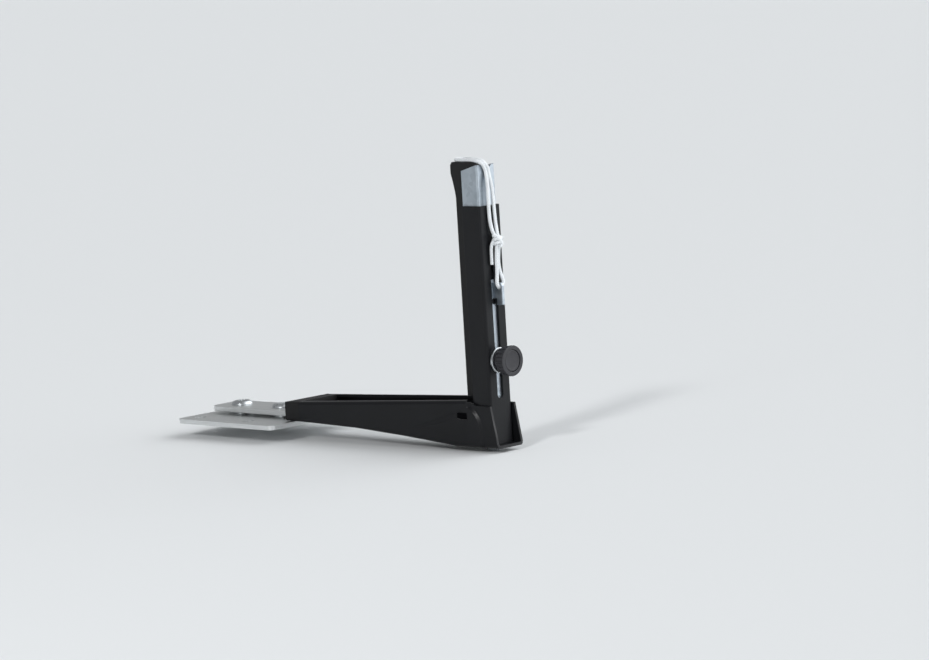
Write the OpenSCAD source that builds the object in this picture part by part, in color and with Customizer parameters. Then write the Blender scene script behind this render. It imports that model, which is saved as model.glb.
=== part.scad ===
// Table tennis net clamp: the mount under the table edge, the arm, the post
// and the mast that slides in it, locked by a knob and tied by the net's cord.
// +X runs outwards along the net line, +Y along the table edge, +Z up.
// The origin is the centre of the four mounting holes, on the plate's underside.

/* [Mounting plate] */
// Distance from the hole centre to the plate's inner edge
plate_in = 30; // [28:1:45]
// Distance from the hole centre to the plate's outer edge
plate_out = 49.5; // [48:0.5:56]
// Width of the plate along the table edge
plate_w = 72; // [66:1:90]
// Thickness of the plate
plate_t = 2.6; // [2:0.1:4]
// Corner radius of the plate
plate_r = 4; // [2:0.5:6]
// Spacing of the mounting holes along X
hole_dx = 40; // [36:1:42]
// Spacing of the mounting holes along Y
hole_dy = 52; // [50:1:54]
// Diameter of the mounting holes
hole_d = 6.6; // [5.5:0.1:7]

/* [Tongue] */
// Width of the flat bar
tongue_w = 24; // [20:0.5:26]
// Thickness of the flat bar
tongue_t = 3; // [2.5:0.1:3.4]
// X of the bar's inner end
tongue_x0 = -26; // [-28:1:-22]
// X of the bar's end inside the arm
tongue_x1 = 96; // [90:1:104]
// X of the first tongue screw
screw_x0 = -12; // [-14:1:-8]
// Distance between the two tongue screws
screw_dx = 34; // [30:1:36]
// Thread diameter of the tongue screws
screw_d = 6; // [5:0.5:6]
// Height of the low screw heads
screw_head_h = 2.2; // [1.8:0.1:2.6]
// X of the first tongue rivet
tongue_rivet_x0 = 68; // [66:1:72]
// Distance between the two tongue rivets
tongue_rivet_dx = 18; // [14:1:18]

/* [Arm] */
// X of the arm's table end
arm_x0 = 42.5; // [41:0.5:44]
// Wall thickness of the arm
arm_t = 1.6; // [1.2:0.1:2]
// Half of the arm's width at the table end
arm_half0 = 18; // [17:0.5:21]
// Height of the arm at the table end
arm_h0 = 11; // [10.8:0.1:14]
// X at which the top edge ends in its shoulder
shoulder_x = 178; // [176:1:179]
// Z of the top edge at the shoulder
shoulder_z = 20.2; // [19.5:0.1:21]
// Z of the cheeks beside the post
cheek_z = 17.5; // [16.5:0.5:18.5]
// Z of the arm's underside below the post
foot_z = -5.6; // [-7:0.2:-5]
// X at which the underside reaches its lowest height
foot_x = 169; // [167:1:171]
// How far the cheeks stand out past the post at their top
cheek_out0 = 1; // [0.5:0.1:2]
// How far the cheeks stand out past the post at their bottom
cheek_out1 = 5.4; // [4:0.2:6]
// How far the arm's sides step in to the cheeks
joggle = 1.2; // [0.8:0.1:1.4]
// Width of the lips along the top edges
lip_w = 3.6; // [3:0.2:4]
// Length of the window in each cheek
window_l = 7.2; // [6:0.2:7.6]
// Height of the window in each cheek
window_h = 3.8; // [3:0.2:4.2]
// Length of the end cap that shows
cap_l = 11; // [10:0.5:12]
// Corner radius of the end cap
cap_r = 3; // [2:0.5:4]

/* [Post] */
// X of the post's outer face
post_x1 = 194.7; // [194:0.1:196]
// Depth of the post along X
post_d = 12.7; // [12.5:0.1:13.5]
// Width of the post along Y
post_w = 17; // [17:0.2:19]
// Wall thickness of the post
post_t = 1.3; // [1.1:0.1:1.5]
// Bend radius on the outside of the post
post_r = 1.6; // [1.5:0.1:2.4]
// Z of the post's top
post_z1 = 126; // [122:0.5:128]
// Width of the slot in the outer face
slot_w = 4.4; // [4.2:0.1:4.6]
// Z of the slot's lower end
slot_z0 = 20.9; // [20.5:0.1:23]
// Height of the foot block
block_h = 9.4; // [8:0.2:9.8]
// Diameter of the foot screw
foot_screw_d = 5; // [4:0.5:5]
// Diameter of the foot pin
foot_pin_d = 4; // [3:0.5:4]

/* [Mast] */
// Clearance between sliding faces
fit = 0.1; // [0.05:0.01:0.15]
// Wall thickness of the height insert
insert_t = 1.2; // [1:0.1:1.4]
// Z of the insert's lower end
insert_z0 = 18; // [17.8:0.1:19]
// Z of the insert's top at its outer face
insert_z1 = 148; // [146:0.5:150]
// Fall of the insert's top towards the net
insert_fall = 3; // [1:0.2:4]
// Y of the notch for the cord
notch_y = 2.4; // [1:0.1:3]
// Depth of the notch
notch_d = 2.2; // [1.5:0.1:3]
// Travel of the mast upwards
travel_up = 8; // [4:0.5:8]
// Travel of the mast downwards
travel_down = 12; // [8:0.5:12]

/* [Net rail] */
// Width of the rail outside the insert
rail_w = 9; // [8:0.2:9.6]
// X of the rail's net side below the nose
rail_x0 = 173.4; // [173:0.1:175]
// X of the nose
nose_x0 = 170.4; // [169.6:0.1:172]
// Z at which the nose begins to flare
nose_z = 130; // [126:0.5:134]
// Z of the rail's top
rail_z1 = 149.5; // [149:0.1:151]
// Z of the rail's lower end
rail_z0 = 22; // [21.5:0.5:24]
// Diameter of the groove for the net's edge
groove_d = 4.2; // [3.6:0.1:4.6]
// Width of the slit into that groove
slit_w = 1.6; // [1.2:0.1:2]

/* [Clamping knob] */
// Z of the bolt that carries the knob
bolt_z = 41.7; // [40:0.1:43]
// Diameter of the bolt
bolt_d = 4; // [3.6:0.1:4]
// Diameter of the washer
washer_d = 14; // [12:0.5:15]
// Thickness of the washer
washer_t = 1.4; // [1:0.1:1.6]
// Diameter of the knob's front
knob_d = 17; // [16:0.5:19]
// Diameter of the knob's back
knob_back_d = 15.4; // [15:0.2:16]
// Thickness of the knob's grip
knob_t = 6.2; // [5.6:0.2:8]
// Diameter of the knob's neck
neck_d = 10; // [9.4:0.2:11]
// Length of the knob's neck
neck_l = 2.7; // [2:0.1:3.5]
// Number of grip ribs
grip_ribs = 24; // [16:2:30]
// Thread pitch
pitch = 0.7; // [0.5:0.1:0.8]

/* [Cord hook] */
// Z of the hook's lower end
hook_z = 71.8; // [71:0.2:72.4]
// Height of the hook
hook_h = 12.3; // [11.9:0.1:12.8]
// X of the hook's outer edge
hook_x1 = 200; // [199.8:0.1:200.8]
// Thickness of the hook
hook_t = 1.8; // [1.4:0.1:1.9]
// Height of the throat behind the hook's tooth
throat_h = 3.9; // [3:0.1:4.2]
// How far the throat reaches out from the insert
throat_w = 2.4; // [2:0.1:2.8]
// Diameter of the hook's hole for the cord
cord_hole_d = 2.7; // [2.5:0.1:2.8]
// Diameter of the hook's cross pin
hook_pin_d = 1.6; // [1.4:0.1:1.8]

/* [Cord] */
// Diameter of the cord
cord_d = 2; // [1.8:0.1:2.1]

/* [Hidden] */
$fn = 64;
eps = 0.01;
far = 400;

// Colours
galvanised = "#c3cacf";
black_coat = "#26272a";
black_plastic = "#1d1d1f";
knob_black = "#3c3c40";
brass_tone = "#b08d4c";
cord_white = "#e9ecef";

// Small fits and details
screw_fit = 0.05;
spacer_h = arm_t;
tongue_z0 = plate_t + spacer_h;
tongue_z1 = tongue_z0 + tongue_t;
screw_head_d = 2 * screw_d;
screw_socket_d = 4.6;
socket_t = 1.2;
tongue_slot_gap = 0.2;
spigot_l = 8;
spigot_h = 6.4;
nut_d = 9;
foot_head_d = 9.5;
foot_head_h = 2.4;
foot_socket_d = 3.6;
rivet_d = 5;
rivet_head_d = 9;
rivet_head_h = 1.4;

// Post and arm, worked out from each other
post_x0 = post_x1 - post_d;
post_half = post_w / 2;
cheek_in = post_half + fit;
cheek_half = cheek_in + arm_t;
arm_bot0 = plate_t;
arm_top0 = arm_bot0 + arm_h0;
web_z = foot_z + arm_t;
cap_x1 = arm_x0 + cap_l;
step_x = post_x0 + 3.5;
joggle_x0 = post_x0 + 1;
joggle_x1 = post_x0 + 3;
window_x = post_x0 - 6.1;
cut_h = 2 * (shoulder_z - foot_z);
trough_z = arm_bot0 + 2 * arm_t;
window_z = 11.6;
bottom_line = [[arm_x0, arm_bot0], [plate_out, arm_bot0], [96, 0.9],
               [130, -1.7], [162, -4.7], [foot_x, foot_z]];
web_slope = atan2(bottom_line[1][1] - bottom_line[2][1],
                  bottom_line[2][0] - bottom_line[1][0]);

// Mast, worked out from the post
insert_x1 = post_x1 - post_t - fit;
insert_x0 = post_x0 - 0.4;
insert_half = post_half - post_t - fit;
stem_half = insert_half - insert_t - fit;
stem_x1 = insert_x1 - insert_t - fit;
rail_half = rail_w / 2;
insert_r = 1.3;
rail_fall = 3.4;
stem_x0 = insert_x0 - 0.3;
mast_pin_d = 3;
window_w = 5;
window_up = 9;
groove_in = 3.4;
groove_stop = 5;
block_x0 = post_x0 + 0.6;
block_x1 = post_x1 - post_t - fit;
block_half = post_half - post_t - fit;
block_z1 = web_z + block_h;
pin_x = (block_x0 + block_x1) / 2;
pin_z = web_z + 2 * block_h / 3;
slot_spare = 1.9;
slot_z1 = hook_z + hook_h + travel_up + slot_spare;

// Bolt and knob along X
head_h = 2;
head_d = 8;
clamp_t = 1.5;
clamp_l = 14;
clamp_w = 9;
clamp_x0 = insert_x1 - insert_t - clamp_t;
head_x0 = clamp_x0 - head_h;
washer_x0 = post_x1 + fit;
neck_x0 = washer_x0 + washer_t;
grip_x0 = neck_x0 + neck_l;
knob_x1 = grip_x0 + knob_t;
bush_d = 7;
bush_l = 5.4;
cap_d = 12;
cap_t = 1.2;
bolt_x1 = neck_x0 + bush_l + 0.4;

// Hook, a plate that stands out through the slot
hook_y = 0.2;
hook_mid = hook_y + hook_t / 2;
hook_r = 2;
tenon_z0 = hook_z + 5;
tenon_h = 6;
tenon_x0 = insert_x1 - insert_t - 2.2;
hook_pin_x = insert_x1 - insert_t - fit / 2 - hook_pin_d / 2;
hook_pin_l = 5;
cord_hole_x = 197.9;
cord_hole_z = hook_z + 9.9;
under_d = 3.6;
under_y = 0.7;
under_z = hook_z + 1.9;
window_low = hook_z + hook_h + 3.7;

// Routes of the cord's centre line, set by hand
strand_route = [
    [197.5, -0.5, 109.6], [196.9, -1.5, 112.6], [196.4, -2, 116.2], [195.95, -2.1, 121],
    [195.85, -2.1, 129], [195.85, -2, 137.5], [195.15, -1.7, 141.6], [194.6, -1.7, 144.6], [194.45, -2.6, 146.9],
    [194.2, -3.7, 148.6], [193.15, -4.4, 149.5], [191.5, -4.7, 150.1], [189.2, -4.7, 150.6], [186, -4.4, 150.8],
    [180, -3.4, 150.7], [175.7, -2.9, 150.7], [173.3, -1.9, 150.7], [172.3, 0.5, 150.7], [173.3, 2.9, 150.7],
    [175.7, 3.9, 150.7], [180.6, 3, 150.7], [184.6, 0.6, 150.7], [188.2, -1.6, 150.8], [191, -2.4, 150.6],
    [193.1, -2.2, 149.95], [194.2, -1.2, 148.5], [194.55, 0, 146.6], [194.65, 0.5, 144.5], [195.2, 0.5, 141.5],
    [195.85, 0.9, 137.5], [195.85, 1.7, 130], [195.95, 2.1, 121], [196.4, 2, 116.2], [197.1, 1.8, 112.6],
    [197.8, 1.6, 109.6]];
loop_route = [
    [197.9, 0.3, 104], [197.7, 0.1, 100], [197.5, -0.1, 96], [197.4, -0.1, 91.5], [197.6, -0.5, 88],
    [197.8, -0.95, 85.6], [197.9, -1.15, 84], [197.9, -0.8, 82.65], [197.9, 0.1, 81.8], [197.9, 1.1, 81.5],
    [197.95, 2.1, 81.8], [198, 3.1, 82.7], [198, 3.6, 84.2], [197.9, 3.3, 86], [197.6, 2.5, 88.8],
    [197.25, 1.97, 91.8], [196.95, 1.9, 96], [197.2, 2.1, 100], [197.6, 2.2, 104]];
tail_route = [
    [197.3, -0.6, 107.4], [196.8, -2, 105.6], [196.5, -2.6, 102.8], [196.3, -2.6, 99],
    [196.2, -2.5, 94]];
knot_c = [197.9, 0.9, 106.6];
knot_h = 2.4;
knot_r = 2.9;

// ---- shared shapes ----

// A rectangle from corner a to corner b with rounded corners
module round_box(a, b, r) {
    translate([a[0] + r, a[1]]) square([b[0] - a[0] - 2 * r, b[1] - a[1]]);
    translate([a[0], a[1] + r]) square([b[0] - a[0], b[1] - a[1] - 2 * r]);
    for (x = [a[0] + r, b[0] - r], y = [a[1] + r, b[1] - r])
        translate([x, y]) circle(r);
}

// A channel bent from sheet, open towards -X
module bent_channel(x0, x1, half, t, r, z0, z1) {
    translate([0, 0, z0]) linear_extrude(z1 - z0) difference() {
        union() {
            round_box([x1 - 3 * r, -half], [x1, half], r);
            translate([x0, -half]) square([x1 - r - x0, 2 * half]);
        }
        translate([x0 - 1, -half + t]) square([x1 - x0 - t + 1 - (r - t), 2 * (half - t)]);
        round_box([x0 - 1, -half + t], [x1 - t, half - t], max(r - t, 0.2));
    }
}

// An outline in X and Z, extruded across Y
module across(half) {
    rotate([90, 0, 0]) linear_extrude(2 * half, center = true) children();
}

// A cylinder along X
module x_rod(x0, x1, d, y = 0, z = 0) {
    translate([x0, y, z]) rotate([0, 90, 0]) cylinder(h = x1 - x0, d = d);
}

// A cylinder along Y, centred
module y_rod(x, z, d, half) {
    translate([x, 0, z]) rotate([90, 0, 0]) cylinder(h = 2 * half, d = d, center = true);
}

// ---- mounting ----

module screw_places() {
    for (i = [0, 1]) translate([screw_x0 + i * screw_dx, 0, 0]) children();
}

module mounting_plate() {
    color(galvanised) difference() {
        linear_extrude(plate_t) round_box([-plate_in, -plate_w / 2], [plate_out, plate_w / 2], plate_r);
        for (x = [-1, 1], y = [-1, 1])
            translate([x * hole_dx / 2, y * hole_dy / 2, -1]) cylinder(h = plate_t + 2, d = hole_d);
        screw_places() translate([0, 0, -1]) cylinder(h = plate_t + 2, d = nut_d);
    }
}

module clinch_nuts() {
    color(galvanised) screw_places() difference() {
        cylinder(h = plate_t, d = nut_d);
        translate([0, 0, -1]) cylinder(h = plate_t + 2, d = screw_d + 2 * screw_fit);
    }
}

module tongue_spacers() {
    color(galvanised) screw_places() translate([0, 0, plate_t]) difference() {
        cylinder(h = spacer_h, d = 2 * screw_d);
        translate([0, 0, -1]) cylinder(h = spacer_h + 2, d = screw_d + 2 * screw_fit);
    }
}

// Places on the arm's sloping floor, where the bar lies inside the arm
module on_floor(x) {
    translate([plate_out, 0, tongue_z0]) rotate([0, web_slope, 0])
        translate([(x - plate_out) / cos(web_slope), 0, 0]) children();
}

// The bar from the side: flat over the plate, then down the arm's floor
module tongue_side() {
    fall = (tongue_x1 - plate_out) * tan(web_slope);
    polygon([[tongue_x0, tongue_z0], [plate_out, tongue_z0], [tongue_x1, tongue_z0 - fall],
             [tongue_x1, tongue_z1 - fall], [plate_out, tongue_z1], [tongue_x0, tongue_z1]]);
}

module mount_tongue() {
    color(galvanised) difference() {
        intersection() {
            across(tongue_w / 2) tongue_side();
            translate([0, 0, -10]) linear_extrude(30)
                round_box([tongue_x0, -tongue_w / 2], [tongue_x1, tongue_w / 2], plate_r);
        }
        screw_places() translate([0, 0, tongue_z0 - 1])
            cylinder(h = tongue_t + 2, d = screw_d + 2 * screw_fit);
        tongue_rivet_places() translate([0, 0, -1])
            cylinder(h = tongue_t + 2, d = rivet_d + 2 * screw_fit);
    }
}

module tongue_screws() {
    color(galvanised) screw_places() difference() {
        union() {
            cylinder(h = tongue_z1, d = screw_d);
            translate([0, 0, tongue_z1])
                cylinder(h = screw_head_h, d1 = screw_head_d, d2 = screw_head_d - 3);
        }
        translate([0, 0, tongue_z1 + screw_head_h - socket_t])
            cylinder(h = 2 * socket_t, d = screw_socket_d, $fn = 6);
    }
}

module tongue_rivet_places() {
    for (i = [0, 1]) on_floor(tongue_rivet_x0 + i * tongue_rivet_dx) children();
}

module tongue_rivets() {
    color(galvanised) tongue_rivet_places() {
        translate([0, 0, -arm_t - rivet_head_h]) {
            cylinder(h = arm_t + tongue_t + 2 * rivet_head_h, d = rivet_d);
            cylinder(h = rivet_head_h, d1 = rivet_head_d - 2.4, d2 = rivet_head_d);
        }
        translate([0, 0, tongue_t]) cylinder(h = rivet_head_h, d1 = rivet_head_d, d2 = rivet_head_d - 2.4);
    }
}

// ---- arm ----

// The arm's outer outline seen from the side
module arm_side() {
    polygon(concat(bottom_line,
        [[post_x1 + cheek_out1, foot_z], [post_x1 + cheek_out0, cheek_z],
         [step_x, cheek_z], [shoulder_x, shoulder_z], [arm_x0, arm_top0]]));
}

// The arm's outline from above, drawn in by d on each side
module arm_plan(d) {
    polygon([[arm_x0 - 1, -arm_half0 + d], [arm_x0 - 1, arm_half0 - d],
             [joggle_x0, cheek_half + joggle - d], [joggle_x1, cheek_half - d],
             [far, cheek_half - d], [far, -cheek_half + d],
             [joggle_x1, -cheek_half + d], [joggle_x0, -cheek_half - joggle + d]]);
}

// The hollow between floor, sides and lips
module arm_hollow_side() {
    polygon(concat([[arm_x0 - 2, arm_bot0 + arm_t]],
        [for (i = [1:len(bottom_line) - 1]) bottom_line[i] + [0, arm_t]],
        [[far, web_z], [far, shoulder_z + 20], [shoulder_x, shoulder_z + 20],
         [shoulder_x, shoulder_z - arm_t], [arm_x0 - 2, arm_top0 - arm_t]]));
}

module arm_outer() {
    intersection() {
        across(arm_half0 + 1) arm_side();
        translate([0, 0, foot_z - 1]) linear_extrude(cut_h) arm_plan(0);
    }
}

module arm_channel() {
    color(black_coat) difference() {
        intersection() {
            arm_outer();
            translate([cap_x1, -far / 2, foot_z - 1]) cube([far, far, cut_h]);
        }
        intersection() {
            across(arm_half0) arm_hollow_side();
            translate([0, 0, foot_z]) linear_extrude(cut_h) arm_plan(arm_t);
        }
        // the trough is open on top between the lips
        translate([0, 0, trough_z]) linear_extrude(cut_h) intersection() {
            arm_plan(lip_w);
            translate([cap_x1 - 1, -arm_half0]) square([shoulder_x - cap_x1 + 1, 2 * arm_half0]);
        }
        // window in both cheeks
        translate([window_x, 0, window_z]) cube([window_l, 3 * arm_half0, window_h], center = true);
        tongue_rivet_places() translate([0, 0, -arm_t - 1])
            cylinder(h = arm_t + 2, d = rivet_d + 2 * screw_fit);
        translate([pin_x, 0, foot_z - 1]) cylinder(h = arm_t + 2, d = foot_screw_d + 2 * screw_fit);
    }
}

module arm_end_cap() {
    color(black_plastic) difference() {
        union() {
            intersection() {
                arm_outer();
                across(arm_half0 + 1)
                    round_box([arm_x0, arm_bot0], [cap_x1 + 3 * cap_r, 2 * arm_top0], cap_r);
                translate([0, 0, foot_z]) linear_extrude(cut_h)
                    round_box([arm_x0, -arm_half0], [cap_x1 + 3 * cap_r, arm_half0], cap_r);
                translate([arm_x0, -far / 2, foot_z]) cube([cap_l, far, cut_h]);
            }
            // spigot inside the arm
            intersection() {
                across(arm_half0) arm_hollow_side();
                translate([0, 0, foot_z]) linear_extrude(cut_h) arm_plan(arm_t + fit);
                translate([cap_x1 - eps, -far / 2, tongue_z0]) cube([spigot_l, far, spigot_h]);
            }
        }
        translate([arm_x0 - 1, -tongue_w / 2 - tongue_slot_gap, tongue_z0 - spacer_h / 2])
            cube([cap_l + 2 * spigot_l, tongue_w + 2 * tongue_slot_gap,
                  spacer_h / 2 + tongue_t + tongue_slot_gap]);
    }
}

// ---- post ----

module post_channel() {
    color(black_coat) difference() {
        bent_channel(post_x0, post_x1, post_half, post_t, post_r, web_z, post_z1);
        translate([post_x1 - post_t - 1, -slot_w / 2, slot_z0 + slot_w / 2])
            cube([post_t + 2, slot_w, slot_z1 - slot_z0 - slot_w]);
        for (z = [slot_z0 + slot_w / 2, slot_z1 - slot_w / 2])
            x_rod(post_x1 - post_t - 1, post_x1 + 1, slot_w, 0, z);
        y_rod(pin_x, pin_z, foot_pin_d + 2 * screw_fit, post_w);
    }
}

module foot_block() {
    color(galvanised) difference() {
        translate([block_x0, -block_half, web_z]) cube([block_x1 - block_x0, 2 * block_half, block_h]);
        translate([pin_x, 0, web_z - 1])
            cylinder(h = block_h - pin_gap() + 1, d = foot_screw_d + 2 * screw_fit);
        y_rod(pin_x, pin_z, foot_pin_d + 2 * screw_fit, post_w);
    }
}

// Height above the screw's blind hole that the cross pin needs
function pin_gap() = block_z1 - pin_z + foot_pin_d / 2 + 0.4;

module foot_screw() {
    color(galvanised) difference() {
        union() {
            translate([pin_x, 0, foot_z - foot_head_h / 2])
                cylinder(h = foot_head_h / 2 + arm_t + block_h - pin_gap() - 0.3, d = foot_screw_d);
            translate([pin_x, 0, foot_z - foot_head_h])
                cylinder(h = foot_head_h, d1 = foot_head_d - 2.5, d2 = foot_head_d);
        }
        translate([pin_x, 0, foot_z - foot_head_h - socket_t])
            cylinder(h = 2 * socket_t, d = foot_socket_d, $fn = 6);
    }
}

module foot_pin() {
    color(black_coat) y_rod(pin_x, pin_z, foot_pin_d, post_half);
}

// ---- mast ----

// The insert's outline from the side, with its sloping top
module insert_side() {
    polygon([[insert_x0, insert_z0], [insert_x1, insert_z0], [insert_x1, insert_z1],
             [insert_x1 - insert_t, insert_z1], [insert_x0, insert_z1 - insert_fall]]);
}

// The two flush rivets across insert and rail, grown by a clearance
module mast_pins(clearance) {
    for (z = [insert_z0 + 9, post_z1 - 20])
        y_rod((stem_x0 + stem_x1) / 2 + 2, z, mast_pin_d + clearance, insert_half);
}

module height_insert() {
    color(galvanised) difference() {
        intersection() {
            bent_channel(insert_x0, insert_x1, insert_half, insert_t, insert_r, insert_z0, insert_z1);
            across(insert_half + 1) insert_side();
        }
        // V notch for the cord
        translate([insert_x1 - 3, notch_y, insert_z1 - notch_d]) rotate([45, 0, 0]) cube([6, 6, 6]);
        translate([insert_x1 - insert_t - 1, -bolt_d / 2 - screw_fit, bolt_z - bolt_d / 2 - screw_fit])
            cube([insert_t + 2, bolt_d + 2 * screw_fit, bolt_d + 2 * screw_fit]);
        translate([insert_x1 - insert_t - 1, hook_y - screw_fit, tenon_z0 - screw_fit])
            cube([insert_t + 2, hook_t + 2 * screw_fit, tenon_h + 2 * screw_fit]);
        x_rod(insert_x1 - insert_t - 1, insert_x1 + 1, under_d, under_y, under_z);
        mast_pins(2 * screw_fit);
        // round-ended window above the hook
        for (z = [window_low, window_low + window_up])
            x_rod(insert_x1 - insert_t - 1, insert_x1 + 1, window_w, 0, z);
        translate([insert_x1 - insert_t - 1, -window_w / 2, window_low])
            cube([insert_t + 2, window_w, window_up]);
    }
}

// The rail's outline from the side: straight below, flared to a nose on top
module rail_side() {
    polygon([[rail_x0, rail_z0], [stem_x1, rail_z0], [stem_x1, rail_z1 - rail_fall],
             [stem_x1 - 5, rail_z1], [nose_x0 + 1.2, rail_z1], [nose_x0, rail_z1 - 1.6],
             [nose_x0, rail_z1 - 6], [rail_x0, nose_z]]);
}

module rail_plan() {
    // head outside the insert, with rounded net side
    round_box([nose_x0, -rail_half], [stem_x0 + 4, rail_half], 1.6);
    translate([stem_x0, -stem_half]) square([stem_x1 - stem_x0, 2 * stem_half]);
}

module net_rail() {
    color(black_plastic) difference() {
        intersection() {
            across(insert_half) rail_side();
            translate([0, 0, rail_z0]) linear_extrude(rail_z1 - rail_z0) rail_plan();
        }
        // keyhole groove for the net's edge
        translate([rail_x0 + groove_in, 0, rail_z0 - 1])
            cylinder(h = nose_z - groove_stop - rail_z0 + 1, d = groove_d);
        translate([nose_x0 - 1, -slit_w / 2, rail_z0 - 1])
            cube([rail_x0 + groove_in - nose_x0 + 1, slit_w, nose_z - groove_stop - rail_z0 + 1]);
        // pockets behind the clamp plate and the hook's cross pin
        translate([head_x0 - 0.6, -clamp_w / 2 - 0.3, bolt_z - clamp_l / 2 - 0.3])
            cube([stem_x1 - head_x0 + 2, clamp_w + 0.6, clamp_l + 0.6]);
        translate([tenon_x0 - 0.4, hook_mid - hook_pin_l / 2 - 0.4, tenon_z0 - 0.4])
            cube([stem_x1 - tenon_x0 + 2, hook_pin_l + 0.8, tenon_h + 0.8]);
        mast_pins(2 * screw_fit);
    }
}

module rail_rivets() {
    color(galvanised) mast_pins(0);
}

module clamp_plate() {
    color(galvanised) translate([clamp_x0, 0, bolt_z]) difference() {
        translate([0, -clamp_w / 2, -clamp_l / 2]) cube([clamp_t, clamp_w, clamp_l]);
        translate([-1, -bolt_d / 2 - screw_fit, -bolt_d / 2 - screw_fit])
            cube([clamp_t + 2, bolt_d + 2 * screw_fit, bolt_d + 2 * screw_fit]);
    }
}

module clamp_bolt() {
    color(galvanised) {
        x_rod(head_x0, clamp_x0, head_d, 0, bolt_z);
        translate([clamp_x0 - eps, -bolt_d / 2, bolt_z - bolt_d / 2])
            cube([insert_x1 - clamp_x0 + eps, bolt_d, bolt_d]);
        x_rod(clamp_x0, bolt_x1, bolt_d, 0, bolt_z);
    }
}

// ---- hook ----

// The hook from the side: its tooth points down, and its tenon goes through the insert
module hook_side() {
    difference() {
        union() {
            translate([insert_x1, hook_z]) square([hook_x1 - hook_r - insert_x1, hook_h]);
            translate([insert_x1, hook_z]) square([hook_x1 - insert_x1, hook_h - hook_r]);
            translate([hook_x1 - hook_r, hook_z + hook_h - hook_r]) circle(hook_r);
            translate([tenon_x0, tenon_z0]) square([insert_x1 - tenon_x0 + eps, tenon_h]);
        }
        // the throat is open below and round on top
        translate([insert_x1 - 1, hook_z - 1]) square([throat_w + 1, throat_h + 1 - throat_w / 2]);
        translate([insert_x1 - 1, hook_z - 1]) square([1 + throat_w / 2, throat_h + 1]);
        translate([insert_x1 + throat_w / 2, hook_z + throat_h - throat_w / 2]) circle(throat_w / 2);
        translate([cord_hole_x, cord_hole_z]) circle(d = cord_hole_d);
        translate([hook_pin_x, tenon_z0 + tenon_h / 2]) circle(d = hook_pin_d + 2 * screw_fit);
    }
}

module cord_hook() {
    color(galvanised) translate([0, hook_mid, 0]) across(hook_t / 2) hook_side();
}

module hook_pin() {
    color(galvanised) translate([0, hook_mid, 0])
        y_rod(hook_pin_x, tenon_z0 + tenon_h / 2, hook_pin_d, hook_pin_l / 2);
}

// ---- cord ----

function unit(v) = v / norm(v);
function along(p, i) = unit(p[min(i + 1, len(p) - 1)] - p[max(i - 1, 0)]);
// A direction across the cord that turns as little as it can from point to point
function aside(p, i) = let (t = along(p, i), u = i == 0 ? [0.6, 0.8, 0.1] : aside(p, i - 1))
    unit(u - (u * t) * t);

// A tube swept along a route
module tube(route, d) {
    sides = 8;
    last = len(route) - 1;
    rings = [for (i = [0:last]) let (t = along(route, i), u = aside(route, i), v = cross(t, u))
        for (k = [0:sides - 1])
            route[i] + d / 2 * (cos(k * 360 / sides) * u + sin(k * 360 / sides) * v)];
    walls = [for (i = [0:last - 1], k = [0:sides - 1]) let (n = (k + 1) % sides)
        [i * sides + k, (i + 1) * sides + k, (i + 1) * sides + n, i * sides + n]];
    start = [for (k = [0:sides - 1]) k];
    end = [for (k = [0:sides - 1]) last * sides + sides - 1 - k];
    polyhedron(points = rings, faces = concat([start], walls, [end]), convexity = 6);
}

module cord_strands() { color(cord_white) tube(strand_route, cord_d); }

module cord_knot() {
    color(cord_white) translate(knot_c) {
        translate([0, 0, -knot_h / 2]) cylinder(h = knot_h, r = knot_r);
        for (z = [-1, 1]) translate([0, 0, z * knot_h / 2]) sphere(r = knot_r);
    }
}

module hook_loop() { color(cord_white) tube(loop_route, cord_d); }

module cord_tail() { color(cord_white) tube(tail_route, cord_d); }

// ---- knob ----

module knob_washer() {
    color(galvanised) difference() {
        x_rod(washer_x0, neck_x0, washer_d, 0, bolt_z);
        x_rod(washer_x0 - 1, neck_x0 + 1, bolt_d + 2 * fit, 0, bolt_z);
    }
}

module lock_knob() {
    color(knob_black) difference() {
        union() {
            x_rod(neck_x0, grip_x0 + 1, neck_d, 0, bolt_z);
            translate([grip_x0, 0, bolt_z]) rotate([0, 90, 0])
                cylinder(h = knob_t, d1 = knob_back_d, d2 = knob_d);
        }
        x_rod(neck_x0 - 1, neck_x0 + bush_l, bush_d, 0, bolt_z);
        x_rod(neck_x0 + bush_l - 1, bolt_x1 + 0.6, bolt_d + 1, 0, bolt_z);
        x_rod(knob_x1 - cap_t, knob_x1 + 1, cap_d, 0, bolt_z);
        for (i = [0:grip_ribs - 1]) translate([grip_x0, 0, bolt_z]) rotate([i * 360 / grip_ribs, 0, 0])
            translate([-1, 0, knob_d / 2 + 0.35]) rotate([0, 90, 0])
                cylinder(h = knob_t + 2, d = 1.3, $fn = 16);
    }
}

module knob_bush() {
    color(brass_tone) difference() {
        x_rod(neck_x0, neck_x0 + bush_l, bush_d, 0, bolt_z);
        x_rod(neck_x0 - 1, neck_x0 + bush_l + 1, bolt_d + 2 * screw_fit, 0, bolt_z);
    }
}

module knob_cap() {
    color(knob_black) x_rod(knob_x1 - cap_t, knob_x1 - 0.3, cap_d, 0, bolt_z);
}

mounting_plate();
clinch_nuts();
tongue_spacers();
mount_tongue();
tongue_screws();
arm_end_cap();
arm_channel();
tongue_rivets();
post_channel();
foot_block();
foot_screw();
foot_pin();
height_insert();
net_rail();
rail_rivets();
clamp_bolt();
clamp_plate();
cord_hook();
hook_pin();
cord_strands();
cord_knot();
hook_loop();
cord_tail();
knob_washer();
lock_knob();
knob_bush();
knob_cap();
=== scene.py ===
import math
import bpy
from mathutils import Matrix, Vector


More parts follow.
